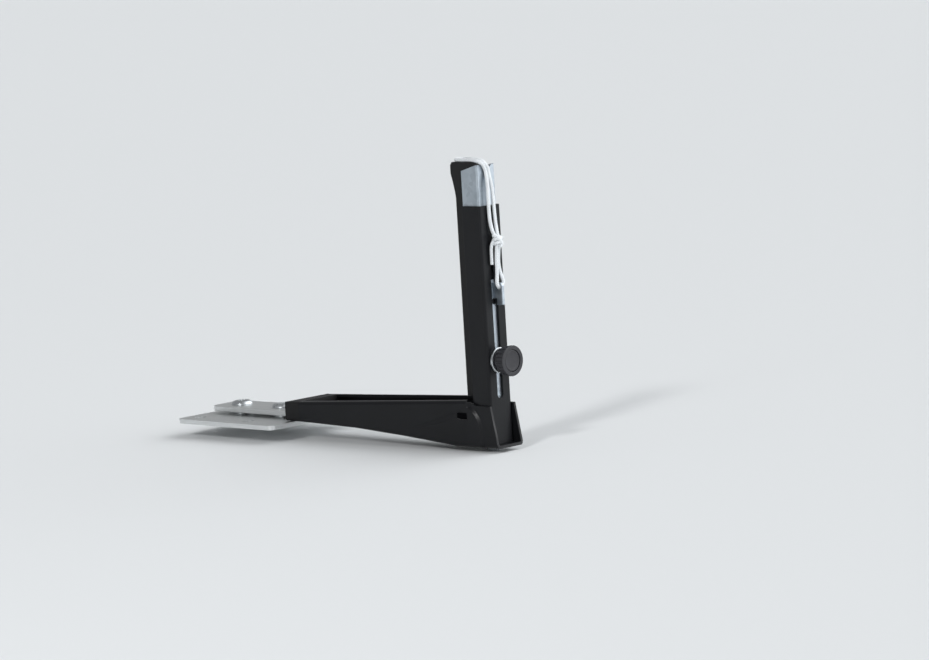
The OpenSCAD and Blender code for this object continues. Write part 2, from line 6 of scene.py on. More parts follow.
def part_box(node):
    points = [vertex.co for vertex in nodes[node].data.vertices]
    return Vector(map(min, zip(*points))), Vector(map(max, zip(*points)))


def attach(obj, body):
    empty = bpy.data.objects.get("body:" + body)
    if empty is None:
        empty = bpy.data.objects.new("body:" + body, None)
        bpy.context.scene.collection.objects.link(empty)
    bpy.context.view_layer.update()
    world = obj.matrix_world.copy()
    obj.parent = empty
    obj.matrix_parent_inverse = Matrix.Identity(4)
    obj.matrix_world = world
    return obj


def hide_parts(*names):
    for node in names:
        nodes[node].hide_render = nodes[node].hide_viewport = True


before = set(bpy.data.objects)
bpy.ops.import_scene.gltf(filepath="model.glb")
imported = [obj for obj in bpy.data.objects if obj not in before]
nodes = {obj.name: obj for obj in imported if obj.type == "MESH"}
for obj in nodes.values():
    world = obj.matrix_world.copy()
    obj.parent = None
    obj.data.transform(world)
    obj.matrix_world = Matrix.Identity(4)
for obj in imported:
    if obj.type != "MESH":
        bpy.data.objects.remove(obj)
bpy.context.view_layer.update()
MM = 0.001  # every piece is shaped in millimetres, and its mesh is then brought to metres


def box(node):
    """The lowest and highest corner of a CAD node, in millimetres."""
    low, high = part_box(node)
    return [c / MM for c in low], [c / MM for c in high]


# ---- camera ----

CAMERA_PLACE = (1.44143, -1.33577, 0.26894)
CAMERA_RIGHT = (0.72787, 0.68315, -0.05925)
CAMERA_DOWN = (0.03527, -0.12360, -0.99171)
CAMERA_FORWARD = (-0.68481, 0.71974, -0.11406)
camera_data = bpy.data.cameras.new("camera")
camera_data.lens = 131.67
camera_data.sensor_width = 36
camera_data.clip_end = 500
camera = bpy.data.objects.new("camera", camera_data)
bpy.context.scene.collection.objects.link(camera)
turn = Matrix((CAMERA_RIGHT, [-c for c in CAMERA_DOWN], [-c for c in CAMERA_FORWARD])).transposed()
camera.matrix_world = Matrix.LocRotScale(Vector(CAMERA_PLACE), turn.to_quaternion(), None)
bpy.context.scene.camera = camera

# ---- materials ----


def colour(code):
    """An sRGB hex colour as linear values."""
    parts = [int(code[i:i + 2], 16) / 255 for i in (1, 3, 5)]
    return [*(c / 12.92 if c <= 0.04045 else ((c + 0.055) / 1.055) ** 2.4 for c in parts), 1]


def add(tree, kind, inputs=None, **settings):
    """Adds a node with its settings, and links or sets its inputs."""
    node = tree.nodes.new(kind)
    for key, value in settings.items():
        setattr(node, key, value)
    for key, value in (inputs or {}).items():
        if isinstance(value, bpy.types.NodeSocket):
            tree.links.new(value, node.inputs[key])
        else:
            node.inputs[key].default_value = value
    return node


def new_finish(name, **sockets):
    """A material with its shader's own sockets set, its node tree and its shader."""
    finish = bpy.data.materials.new(name)
    finish.use_nodes = True
    shader = finish.node_tree.nodes["Principled BSDF"]
    for key, value in sockets.items():
        shader.inputs[key.replace("_", " ").title().replace("Ior", "IOR")].default_value = value
    return finish, finish.node_tree, shader


def per(size_mm):
    """The texture scale that repeats once in so many millimetres of Object coordinates."""
    return 1 / (size_mm * MM)


def noise(tree, place, size_mm, detail):
    """Noise whose grain has a size in millimetres."""
    return add(tree, "ShaderNodeTexNoise", {"Vector": place, "Scale": per(size_mm), "Detail": detail})


def blend(tree, factor, first, second):
    """A colour between two, by a factor."""
    return add(tree, "ShaderNodeMix", {0: factor, 6: colour(first), 7: colour(second)}, data_type="RGBA")


def spread(tree, factor, least, most):
    """A value between two, by a factor."""
    return add(tree, "ShaderNodeMapRange", {0: factor, 3: least, 4: most})


def relief(tree, height, strength, deep_mm):
    """A bump with a depth in millimetres."""
    return add(tree, "ShaderNodeBump", {"Height": height, "Strength": strength, "Distance": deep_mm * MM})


def wire(tree, shader, tone, gloss=None, bump=None):
    """Links a tone to the shader, and a gloss and a bump where there are any."""
    tree.links.new(tone.outputs[2], shader.inputs["Base Color"])
    if gloss:
        tree.links.new(gloss.outputs[0], shader.inputs["Roughness"])
    if bump:
        tree.links.new(bump.outputs[0], shader.inputs["Normal"])


# Polyester powder coat on steel: sprayed and baked, a satin black with a faint orange peel
powder_coat, tree, shader = new_finish("powder_coated_steel", specular_ior_level=0.21)
place = add(tree, "ShaderNodeTexCoord").outputs["Object"]
cloud = noise(tree, place, 22, 3)
tone = blend(tree, cloud.outputs["Fac"], "#0e0f11", "#18191c")
peel = noise(tree, place, 1.1, 2)
fleck = noise(tree, place, 0.35, 1)
gloss = spread(tree, fleck.outputs["Fac"], 0.29, 0.40)
bump = relief(tree, peel.outputs["Fac"], 0.35, 0.06)
wire(tree, shader, tone, gloss, bump)

# Galvanised sheet steel, clear passivated: a cool satin silver with a faint spangle
galvanised, tree, shader = new_finish("galvanised_steel", metallic=1.0)
place = add(tree, "ShaderNodeTexCoord").outputs["Object"]
spangle = add(tree, "ShaderNodeTexVoronoi", {"Vector": place, "Scale": per(3.2)})
grain = noise(tree, place, 0.5, 4)
cloud = noise(tree, place, 14, 3)
flake = add(tree, "ShaderNodeSeparateColor", {0: spangle.outputs["Color"]})
mixed = add(tree, "ShaderNodeMix", {0: 0.55, 2: flake.outputs[0], 3: cloud.outputs["Fac"]})
tone = blend(tree, mixed.outputs[0], "#9aa3ac", "#c0c9d0")
gloss = spread(tree, flake.outputs[1], 0.34, 0.46)
bump = relief(tree, grain.outputs["Fac"], 0.12, 0.02)
wire(tree, shader, tone, gloss, bump)

# Zinc plate on rolled flat bar, with the lengthwise grain of the roll; its tone is painted paler than the
# galvanised sheet, as painted light on the plate and tongue
zinc_flat_bar_painted_light, tree, shader = new_finish("zinc_flat_bar_painted_lighter", metallic=1.0)
place = add(tree, "ShaderNodeTexCoord").outputs["Object"]
drawn_out = add(tree, "ShaderNodeMapping", {"Vector": place, "Scale": (0.05, 1, 1)})
lines = noise(tree, drawn_out.outputs[0], 0.8, 3)
# painted light: a paler tone than the galvanised sheet's, standing in for the light on the plate and tongue
tone = blend(tree, lines.outputs["Fac"], "#d3d6d6", "#eceded")
gloss = spread(tree, lines.outputs["Fac"], 0.32, 0.42)
bump = relief(tree, lines.outputs["Fac"], 0.12, 0.015)
wire(tree, shader, tone, gloss, bump)

# Bright zinc plate on turned and headed steel: finer and shinier than the sheet, with faint tool marks
zinc_plate, tree, shader = new_finish("zinc_plated_steel", metallic=1.0)
place = add(tree, "ShaderNodeTexCoord").outputs["Object"]
cloud = noise(tree, place, 3, 3)
fine = noise(tree, place, 0.25, 2)
tone = blend(tree, cloud.outputs["Fac"], "#b4b8bb", "#d4d8da")
gloss = spread(tree, cloud.outputs["Fac"], 0.22, 0.36)
bump = relief(tree, fine.outputs["Fac"], 0.10, 0.01)
wire(tree, shader, tone, gloss, bump)

# Moulded black nylon: dull, with the fine spark-eroded grain of its mould
moulded_nylon, tree, shader = new_finish("moulded_black_nylon", specular_ior_level=0.30)
place = add(tree, "ShaderNodeTexCoord").outputs["Object"]
grain = noise(tree, place, 0.30, 3)
cloud = noise(tree, place, 9, 2)
tone = blend(tree, cloud.outputs["Fac"], "#0f0f10", "#171718")
gloss = spread(tree, grain.outputs["Fac"], 0.50, 0.66)
bump = relief(tree, grain.outputs["Fac"], 0.30, 0.03)
wire(tree, shader, tone, gloss, bump)

# Moulded ABS of the knob: a shade lighter than the nylon, with a soft matt grain
moulded_abs, tree, shader = new_finish("moulded_grey_black_abs", specular_ior_level=0.40)
place = add(tree, "ShaderNodeTexCoord").outputs["Object"]
grain = noise(tree, place, 0.40, 3)
cloud = noise(tree, place, 6, 2)
tone = blend(tree, cloud.outputs["Fac"], "#1f1f23", "#2a2a2f")
gloss = spread(tree, grain.outputs["Fac"], 0.42, 0.58)
bump = relief(tree, grain.outputs["Fac"], 0.25, 0.03)
wire(tree, shader, tone, gloss, bump)

# Turned brass of the knob's thread: warm, with light tarnish
turned_brass, tree, shader = new_finish("turned_brass", metallic=1.0)
place = add(tree, "ShaderNodeTexCoord").outputs["Object"]
cloud = noise(tree, place, 2, 4)
tone = blend(tree, cloud.outputs["Fac"], "#a07c40", "#c7a263")
gloss = spread(tree, cloud.outputs["Fac"], 0.25, 0.42)
wire(tree, shader, tone, gloss)

# Braided polyester cord: white, each strand crossing over and under the next, with painted shade: grey in the
# hollows between the strands.
# The map's U goes once round the cord, and its V runs along it in turns of the braid.
CORD_D = 2.0
BRAID_STRANDS = 6
BRAID_PITCH = 5.0
braided_cord, tree, shader = new_finish("braided_white_polyester", roughness=0.78, sheen_weight=0.25)
wrap = add(tree, "ShaderNodeSeparateXYZ", {0: add(tree, "ShaderNodeTexCoord").outputs["UV"]})
waves = []
for way in (1, -1):
    around = add(tree, "ShaderNodeMath", {0: wrap.outputs[0], 1: BRAID_STRANDS}, operation="MULTIPLY")
    along = add(tree, "ShaderNodeMath",
                {0: wrap.outputs[1], 1: way * BRAID_STRANDS, 2: around.outputs[0]},
                operation="MULTIPLY_ADD")
    angle = add(tree, "ShaderNodeMath", {0: along.outputs[0], 1: math.pi}, operation="MULTIPLY")
    wave = add(tree, "ShaderNodeMath", {0: angle.outputs[0]}, operation="SINE")
    waves.append(add(tree, "ShaderNodeMath", {0: wave.outputs[0]}, operation="ABSOLUTE"))
lump = add(tree, "ShaderNodeMath", {0: waves[0].outputs[0], 1: waves[1].outputs[0]}, operation="MULTIPLY")
fibre = add(tree, "ShaderNodeTexNoise", {"Vector": add(tree, "ShaderNodeTexCoord").outputs["Object"],
                                         "Scale": per(0.25), "Detail": 2})
# painted shade: the hollows between the braid's lumps are painted grey, and the lumps stay white
painted_gap_shade = add(tree, "ShaderNodeMapRange", {0: lump.outputs[0], 1: 0.0, 2: 0.45})
tone = blend(tree, painted_gap_shade.outputs[0], "#a9afb5", "#eceff1")
height = add(tree, "ShaderNodeMath", {0: fibre.outputs["Fac"], 1: 0.35, 2: lump.outputs[0]},
             operation="MULTIPLY_ADD")
bump = relief(tree, height.outputs[0], 0.6, 0.12)
wire(tree, shader, tone, bump=bump)

# ---- modelling helpers: each works on one piece, as by hand ----

ops = bpy.ops.mesh
UP, OUT, SIDE = Vector((0, 0, 1)), Vector((1, 0, 0)), Vector((0, 1, 0))


def focus(piece):
    """Leaves one piece selected and active."""
    bpy.ops.object.select_all(action="DESELECT")
    piece.select_set(True)
    bpy.context.view_layer.objects.active = piece


def start(name, primitive, **settings):
    """Adds a primitive, names it and settles its place into its mesh."""
    bpy.ops.object.select_all(action="DESELECT")
    primitive(**settings)
    piece = bpy.context.object
    piece.name = piece.data.name = name
    bpy.ops.object.transform_apply(location=True, rotation=True, scale=True)
    return piece


def block(name, low, high):
    """A block between two corners."""
    middle = [(a + b) / 2 for a, b in zip(low, high)]
    return start(name, ops.primitive_cube_add, size=1, location=middle,
                 scale=[b - a for a, b in zip(low, high)])


def rod(name, axis, centre, length, across, sides=48):
    """A cylinder along an axis, for cutting holes."""
    spin = {"X": (0, math.pi / 2, 0), "Y": (math.pi / 2, 0, 0), "Z": (0, 0, 0)}[axis]
    return start(name, ops.primitive_cylinder_add, vertices=sides, radius=across / 2, depth=length,
                 location=centre, rotation=spin)


def edit(piece, kind, test, *steps):
    """Selects the vertices, edges or faces that pass a test, and runs steps on them."""
    focus(piece)
    bpy.ops.object.mode_set(mode="EDIT")
    ops.select_mode(type=kind)
    ops.select_all(action="DESELECT")
    bpy.ops.object.mode_set(mode="OBJECT")
    mesh = piece.data
    if kind == "VERT":
        for v in mesh.vertices:
            v.select = test(v.co)
    elif kind == "FACE":
        for f in mesh.polygons:
            f.select = test(f.center, f.normal)
    else:
        for e in mesh.edges:
            a, b = (mesh.vertices[i].co for i in e.vertices)
            e.select = test((a + b) / 2, (b - a).normalized())
    bpy.ops.object.mode_set(mode="EDIT")
    for operator, settings in steps:
        operator(**settings)
    bpy.ops.object.mode_set(mode="OBJECT")


def everything(*anything):
    """The test that all vertices, edges or faces pass."""
    return True


def pull(*by):
    """Extrudes what is selected."""
    return ops.extrude_region_move, {"TRANSFORM_OT_translate": {"value": by}}


def grow(by, about):
    """Resizes what is selected about a point."""
    return bpy.ops.transform.resize, {"value": by, "center_override": about}


def move(*by):
    """Moves what is selected."""
    return bpy.ops.transform.translate, {"value": by}


def round_off(width, steps):
    """Bevels the selected edges."""
    return ops.bevel, {"offset": width, "segments": steps, "affect": "EDGES"}


DELETE_FACES = ops.delete, {"type": "FACE"}
MERGE = ops.remove_doubles, {"threshold": 0.001}
OUTWARDS = ops.normals_make_consistent, {"inside": False}
FILL = ops.edge_face_add, {}
SELECT_ALL = ops.select_all, {"action": "SELECT"}
SELECT_NONE = ops.select_all, {"action": "DESELECT"}


def score(piece, axis, places, test=everything):
    """Cuts new edge lines across a piece, or the faces of it that pass a test."""
    for place in places:
        edit(piece, "FACE", test, (ops.bisect, {"plane_co": axis * place, "plane_no": axis}))


def trim(piece, point, normal):
    """Takes off what lies past a plane, and closes the cut."""
    edit(piece, "FACE", everything,
         (ops.bisect, {"plane_co": point, "plane_no": normal, "clear_outer": True, "use_fill": True}))


def reshape(piece, rule):
    """Moves each vertex by a rule, as a press tool does."""
    for v in piece.data.vertices:
        v.co = rule(*v.co)


def modify(piece, kind, **settings):
    """Adds a modifier and applies it."""
    modifier = piece.modifiers.new(kind.lower(), kind)
    for key, value in settings.items():
        setattr(modifier, key, value)
    focus(piece)
    bpy.ops.object.modifier_apply(modifier=modifier.name)


def unite(piece, tool):
    """Joins a solid tool to a piece as one shell, and removes the tool."""
    modify(piece, "BOOLEAN", operation="UNION", solver="EXACT", object=tool)
    bpy.data.objects.remove(tool)


def cut(piece, *tools):
    """Cuts tools out of a piece, and removes the tools."""
    for tool in tools:
        modify(piece, "BOOLEAN", operation="DIFFERENCE", solver="EXACT", object=tool)
        bpy.data.objects.remove(tool)


def fuse(piece, *others):
    """Joins shells to one piece."""
    focus(piece)
    for other in others:
        other.select_set(True)
    bpy.ops.object.join()
    return piece


def again(piece, *shifts):
    """Copies a shape to further places, and joins the copies to it."""
    copies = []
    for shift in shifts:
        twin = piece.copy()
        twin.data = piece.data.copy()
        bpy.context.scene.collection.objects.link(twin)
        twin.data.transform(Matrix.Translation(shift))
        copies.append(twin)
    return fuse(piece, *copies)


def turned(name, axis, centre, sections, sides=64, ring=False):
    """A part turned on a lathe: a circle pulled along an axis through (place, radius) sections.
    A ring closes on its own first section, and anything else is capped at both ends."""
    across = [0 if a else 1 for a in axis]
    spin = (0, math.pi / 2, 0) if axis.x else (math.pi / 2, 0, 0) if axis.y else (0, 0, 0)
    steps = []
    (last, size), *rest = sections
    for place, radius in rest + ([sections[0]] if ring else []):
        about = [place if a else c for a, c in zip(axis, centre)]
        steps += [pull(*(axis * (place - last))),
                  grow([radius / size if a else 1 for a in across], about)]
        last, size = place, radius
    first = [sections[0][0] if a else c for a, c in zip(axis, centre)]
    piece = start(name, ops.primitive_circle_add, vertices=sides, radius=sections[0][1], location=first,
                  rotation=spin)
    if ring:
        edit(piece, "EDGE", everything, *steps, SELECT_ALL, MERGE, OUTWARDS)
    else:
        edit(piece, "EDGE", everything, *steps, FILL)
        edit(piece, "EDGE", lambda m, d: abs(m.dot(axis) - sections[0][0]) < 1e-4,
             FILL, SELECT_ALL, OUTWARDS)
    return piece


def soften(piece, width, steps=2, angle=28, smooth=32, flat=0.4):
    """Rounds the hard edges a little, and shades the piece."""
    edit(piece, "FACE", everything, (ops.remove_doubles, {"threshold": 0.002}),
         (ops.dissolve_limited, {"angle_limit": math.radians(flat)}))
    if width:
        modify(piece, "BEVEL", width=width, segments=steps, limit_method="ANGLE",
               angle_limit=math.radians(angle), use_clamp_overlap=True, harden_normals=False)
    focus(piece)
    bpy.ops.object.shade_smooth_by_angle(angle=math.radians(smooth))
    modify(piece, "WEIGHTED_NORMAL", keep_sharp=True, weight=60)


def hand_over(piece, body, slot, finish, *stands_for):
    """Brings a finished piece to metres, gives it its finish and lets it ride on its body."""
    piece.data.transform(Matrix.Scale(MM, 4))
    piece.data.materials.clear()
    piece.data.materials.append(finish)
    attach(piece, body)
    if stands_for:
        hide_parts(*stands_for)
    return piece


# ---- cord and knot ----

TUBE_SIDES = 24
CORD_STEP = 0.35
CURVE_PARTS = 24  # short straights between two points of a smooth line
BRAID_SUNK, BRAID_LUMP, BRAID_ROUND = 0.10, 0.13, 0.6  # depth, height and shape of the braid's lumps
STRANDS = [
    (197.5, -0.5, 109.6), (196.9, -1.5, 112.6), (196.4, -2, 116.2), (195.95, -2.1, 121), (195.85, -2.1, 129),
    (195.85, -2, 137.5), (195.15, -1.7, 141.6), (194.6, -1.7, 144.6), (194.45, -2.6, 146.9),
    (194.2, -3.7, 148.6), (193.15, -4.4, 149.5), (191.5, -4.7, 150.1), (189.2, -4.7, 150.6),
    (186, -4.4, 150.8), (180, -3.4, 150.7), (175.7, -2.9, 150.7), (173.3, -1.9, 150.7), (172.3, 0.5, 150.7),
    (173.3, 2.9, 150.7), (175.7, 3.9, 150.7), (180.6, 3, 150.7), (184.6, 0.6, 150.7), (188.2, -1.6, 150.8),
    (191, -2.4, 150.6), (193.1, -2.2, 149.95), (194.2, -1.2, 148.5), (194.55, 0, 146.6), (194.65, 0.5, 144.5),
    (195.2, 0.5, 141.5), (195.85, 0.9, 137.5), (195.85, 1.7, 130), (195.95, 2.1, 121), (196.4, 2, 116.2),
    (197.1, 1.8, 112.6), (197.8, 1.6, 109.6)]
HOOK_LOOP = [
    (197.9, 0.3, 104), (197.7, 0.1, 100), (197.5, -0.1, 96), (197.4, -0.1, 91.5), (197.6, -0.5, 88),
    (197.8, -0.95, 85.6), (197.9, -1.15, 84), (197.9, -0.8, 82.65), (197.9, 0.1, 81.8), (197.9, 1.1, 81.5),
    (197.95, 2.1, 81.8), (198, 3.1, 82.7), (198, 3.6, 84.2), (197.9, 3.3, 86), (197.6, 2.5, 88.8),
    (197.25, 1.97, 91.8), (196.95, 1.9, 96), (197.2, 2.1, 100), (197.6, 2.2, 104)]
TAIL = [
    (197.3, -0.6, 107.4), (196.8, -2, 105.6), (196.5, -2.6, 102.8), (196.3, -2.6, 99), (196.2, -2.5, 94)]
TAIL_D = 1.7
CROSSING = [
    (197.4, -1.6, 109.6), (199.2, -0.9, 109.2), (199.9, 0.5, 107.6), (199.8, 2.1, 105.4), (198.5, 3, 103.8)]
STUB = [(198, 1.6, 107.4), (198.3, 3, 107.8), (198.3, 4.3, 108)]
KNOT = (197.9, 0.9, 106.6)


def smooth_line(points, step):
    """A Catmull-Rom curve through points, as points that lie a step apart."""
    points = [Vector(p) for p in points]
    ends = [2 * points[0] - points[1], *points, 2 * points[-1] - points[-2]]
    fine = []
    for a, b, c, d in zip(ends, ends[1:], ends[2:], ends[3:]):
        for k in range(CURVE_PARTS):
            t = k / CURVE_PARTS
            fine.append(0.5 * (2 * b + (c - a) * t + (2 * a - 5 * b + 4 * c - d) * t ** 2
                               + (3 * b - a - 3 * c + d) * t ** 3))
    fine.append(points[-1])
    lengths = [0.0]
    for a, b in zip(fine, fine[1:]):
        lengths.append(lengths[-1] + (b - a).length)
    count = round(lengths[-1] / step)
    line, k = [], 0
    for i in range(count + 1):
        target = lengths[-1] * i / count
        while k < len(fine) - 2 and lengths[k + 1] < target:
            k += 1
        span = lengths[k + 1] - lengths[k] or 1
        line.append(fine[k].lerp(fine[k + 1], (target - lengths[k]) / span))
    return line, lengths[-1]


def braid_height(around, along):
    """How far the braid stands out, from 0 to 1."""
    return abs(math.sin(math.pi * (around + along)) * math.sin(math.pi * (around - along)))


def braided_tube(name, points, across=CORD_D):
    """A grid rolled to a tube along a smooth line, with the braid's lumps in its surface."""
    line, length = smooth_line(points, CORD_STEP)
    piece = start(name, ops.primitive_grid_add, x_subdivisions=TUBE_SIDES, y_subdivisions=len(line) - 1)
    aside = Vector((0.6, 0.8, 0.1))
    mesh = piece.data
    for i, middle in enumerate(line):
        way = (line[min(i + 1, len(line) - 1)] - line[max(i - 1, 0)]).normalized()
        aside = (aside - way * aside.dot(way)).normalized()
        other = way.cross(aside)
        run = i * length / (len(line) - 1) / BRAID_PITCH
        for k in range(TUBE_SIDES + 1):
            turn = k / TUBE_SIDES
            lump = braid_height(turn * BRAID_STRANDS, run * BRAID_STRANDS)
            radius = across / 2 - BRAID_SUNK + BRAID_LUMP * lump ** BRAID_ROUND
            angle = 2 * math.pi * turn
            mesh.vertices[i * (TUBE_SIDES + 1) + k].co = middle + radius * (
                math.cos(angle) * aside + math.sin(angle) * other)
    for corner in mesh.uv_layers.active.data:
        corner.uv.y *= length / BRAID_PITCH
    edit(piece, "VERT", everything, (ops.remove_doubles, {"threshold": 0.0001}), SELECT_NONE,
         (ops.select_non_manifold, {}), (ops.fill_holes, {"sides": 0}), SELECT_ALL, OUTWARDS)
    focus(piece)
    bpy.ops.object.shade_smooth_by_angle(angle=math.radians(50))
    return piece, [p * MM for p in line], length * MM


cord_points = [(197.9, 0.5, 107)] + STRANDS + [(198, 1.8, 107)] + HOOK_LOOP[::-1] + [(198, 0.5, 106.2)]
tie_cord, cord_line, cord_length = braided_tube("tie_cord", cord_points)
hand_over(tie_cord, "mast", "white_cord", braided_cord, "cord_strands", "hook_loop")

WRAP_X, WRAP_Y, WRAP_RISE, WRAP_END = 1.7, 1.9, 5.6, 5.2 * math.pi
wraps = [(KNOT[0] + WRAP_X * math.cos(a), KNOT[1] + WRAP_Y * math.sin(a),
          KNOT[2] - WRAP_RISE / 2 + WRAP_RISE * a / WRAP_END)
         for a in [k * math.pi / 6 for k in range(32)]]
knot_body, *_ = braided_tube("tie_knot", wraps)
crossing, *_ = braided_tube("crossing", CROSSING)
stub, *_ = braided_tube("stub", STUB)
tail, *_ = braided_tube("tail", TAIL, across=TAIL_D)
tie_knot = fuse(knot_body, crossing, stub, tail)
hand_over(tie_knot, "mast", "white_cord", braided_cord, "cord_knot", "cord_tail")

# ---- mounting plate, tongue and fasteners ----

SCREW_PLACES = (-12.0, 22.0)
HOLE_X, HOLE_Y, HOLE_D = 20.0, 26.0, 6.6
CORNER_R = 4
TONGUE_T = 3.0
TONGUE_BEND = 2  # half the length over which the tongue bends down
plate_low, plate_high = box("mounting_plate")
plate_t = plate_high[2]
mounting_plate = block("dressed_plate", plate_low, plate_high)
edit(mounting_plate, "EDGE", lambda m, d: abs(d.z) > 0.9, round_off(CORNER_R, 8))
nut_d = box("clinch_nuts")[1][1] * 2
cut(mounting_plate, *[rod("hole", "Z", (x * HOLE_X, y * HOLE_Y, plate_t / 2), 3 * plate_t, HOLE_D)
                      for x in (-1, 1) for y in (-1, 1)],
    *[rod("nut_hole", "Z", (x, 0, plate_t / 2), 3 * plate_t, nut_d) for x in SCREW_PLACES])
soften(mounting_plate, 0.3)
hand_over(mounting_plate, "root", "galvanised_steel", zinc_flat_bar_painted_light, "mounting_plate")

nuts = turned("dressed_nuts", UP, (SCREW_PLACES[0], 0, 0),
              [(0.0, nut_d / 2 - 0.3), (0.25, nut_d / 2), (plate_t - 0.1, nut_d / 2),
               (plate_t, nut_d / 2 - 0.1),
               (plate_t, 3.5), (plate_t - 0.45, 3.06), (0.45, 3.06), (0.0, 3.5)], ring=True)
soften(nuts, 0)
again(nuts, (SCREW_PLACES[1] - SCREW_PLACES[0], 0, 0))
hand_over(nuts, "root", "galvanised_steel", zinc_plate, "clinch_nuts")

tongue_low, tongue_high = box("mount_tongue")
tongue_bottom = box("tongue_spacers")[1][2]
tongue_top = tongue_bottom + TONGUE_T
slope = (tongue_bottom - tongue_low[2]) / (tongue_high[0] - plate_high[0])
mount_tongue = block("dressed_tongue", (tongue_low[0], tongue_low[1], tongue_bottom),
                     (tongue_high[0], tongue_high[1], tongue_top))
edit(mount_tongue, "EDGE", lambda m, d: abs(d.z) > 0.9, round_off(CORNER_R, 8))
score(mount_tongue, OUT, [plate_high[0] - TONGUE_BEND + 0.8 * k for k in range(6)])


def bend_down(x, y, z):
    """Bends the tongue down to the arm's slope past the edge of the plate."""
    past = x - plate_high[0]
    if past < -TONGUE_BEND:
        fall = 0
    elif past < TONGUE_BEND:
        fall = (past + TONGUE_BEND) ** 2 / (4 * TONGUE_BEND)
    else:
        fall = past
    return x, y, z - slope * fall


reshape(mount_tongue, bend_down)
soften(mount_tongue, 0.35)
hand_over(mount_tongue, "root", "galvanised_steel", zinc_flat_bar_painted_light, "mount_tongue")

head_z = box("tongue_screws")[1][2]
screws = turned("dressed_screws", UP, (SCREW_PLACES[0], 0, 0),
                [(0, 2.5), (0.5, 3), (tongue_top, 3), (tongue_top, 5.8), (tongue_top + 0.2, 6),
                 (tongue_top + 0.7, 6), (head_z - 0.75, 5.55), (head_z - 0.25, 4.9), (head_z, 4.3)])
cut(screws, rod("socket", "Z", (SCREW_PLACES[0], 0, head_z), 2.4, 4.6, sides=6))
soften(screws, 0.12)
again(screws, (SCREW_PLACES[1] - SCREW_PLACES[0], 0, 0))
hand_over(screws, "root", "galvanised_steel", zinc_plate, "tongue_screws")

RIVET_X = (68.0, 86.0)
ARM_WALL = 1.6
rivets = turned("dressed_rivets", UP, (0, 0, 0),
                [(-ARM_WALL - 1.35, 2.0), (-ARM_WALL - 1.25, 3.0), (-ARM_WALL - 0.8, 3.95),
                 (-ARM_WALL - 0.3, 4.4), (-ARM_WALL, 4.45), (-ARM_WALL, 2.5), (3, 2.5), (3, 4.45),
                 (3.3, 4.4), (3.8, 3.95), (4.25, 3.0), (4.35, 2.0)])
soften(rivets, 0)
rivets.data.transform(Matrix.Rotation(math.atan(slope), 4, "Y"))
rivet_z = tongue_bottom - slope * (RIVET_X[0] - plate_high[0])
rivets.data.transform(Matrix.Translation((RIVET_X[0], 0, rivet_z)))
again(rivets, (RIVET_X[1] - RIVET_X[0], 0, -slope * (RIVET_X[1] - RIVET_X[0])))
hand_over(rivets, "root", "galvanised_steel", zinc_plate, "tongue_rivets")

# ---- arm ----

arm_low, arm_high = box("arm_channel")
cap_low, cap_high = box("arm_end_cap")
post_low, post_high = box("post_channel")
cheek = post_high[1] + 0.1 + ARM_WALL
shoulder_x, cheek_z = 178.0, 17.5
step_x = post_low[0] + 3.5
UNDERSIDE = [(cap_low[0], cap_low[2]), (plate_high[0], cap_low[2]), (96, 0.9), (130, -1.7),
             (162, -4.7), (169, arm_low[2]), (230, arm_low[2])]
CAP_TOP_Z, CAP_HALF = 13.6, 18.0  # the arm's top edge and half width where its cap starts
TOP_SLOPE = (arm_high[2] - CAP_TOP_Z) / (shoulder_x - cap_low[0])
JOGGLE, JOGGLE_RUN = 1.2, 2.4  # how far the sides step in, and the length that takes
ARC_X, ARC_Z, ARC_R = 174.1, 3.7, 14.6  # the joggle's curve, seen from the side
WIDTH_SLOPE = (CAP_HALF - cheek - JOGGLE) / (post_low[0] + 1 - cap_low[0] + 1)
BLANK_END = 205
ARM_WINDOW_X, ARM_WINDOW_Z = (post_low[0] - 9.7, post_low[0] - 2.5), (9.7, 13.5)
END_OUT, END_LEAN = 5.4, 4.4  # the cheeks' sloping end: how far it stands out, and how far it leans


def underside(x):
    """Z of the arm's underside."""
    for (x0, z0), (x1, z1) in zip(UNDERSIDE, UNDERSIDE[1:]):
        if x <= x1:
            return z0 + (z1 - z0) * (x - x0) / (x1 - x0)
    return arm_low[2]


def top_edge(x):
    """Z of the arm's top edge, which falls from the shoulder to the cheeks."""
    fall = (arm_high[2] - cheek_z) * max(x - shoulder_x, 0) / (step_x - shoulder_x)
    rise = min(CAP_TOP_Z + TOP_SLOPE * (x - cap_low[0]), arm_high[2])
    return max(rise - fall, cheek_z if x > shoulder_x else 0)


def half_width(x):
    """Half of the arm's width, before its sides are stepped in to the cheeks."""
    return max(CAP_HALF - WIDTH_SLOPE * (x - cap_low[0] + 1), cheek + JOGGLE * 0.98)


def press(x, y, z):
    """Gives a unit block the arm's height and width."""
    low, high = underside(x), top_edge(x)
    return x, y * half_width(x), low + (high - low) * (z + 1) / 2


def step_in(x, y, z):
    """Steps the arm's sides in to the cheeks along a curved joggle."""
    rise = min(max(z - ARC_Z, 0), 0.92 * ARC_R)
    t = min(max((x - ARC_X - math.sqrt(ARC_R ** 2 - rise ** 2)) / JOGGLE_RUN + 0.5, 0), 1)
    wide = half_width(x)
    return x, y * (1 - (wide - cheek) / wide * t * t * (3 - 2 * t)), z


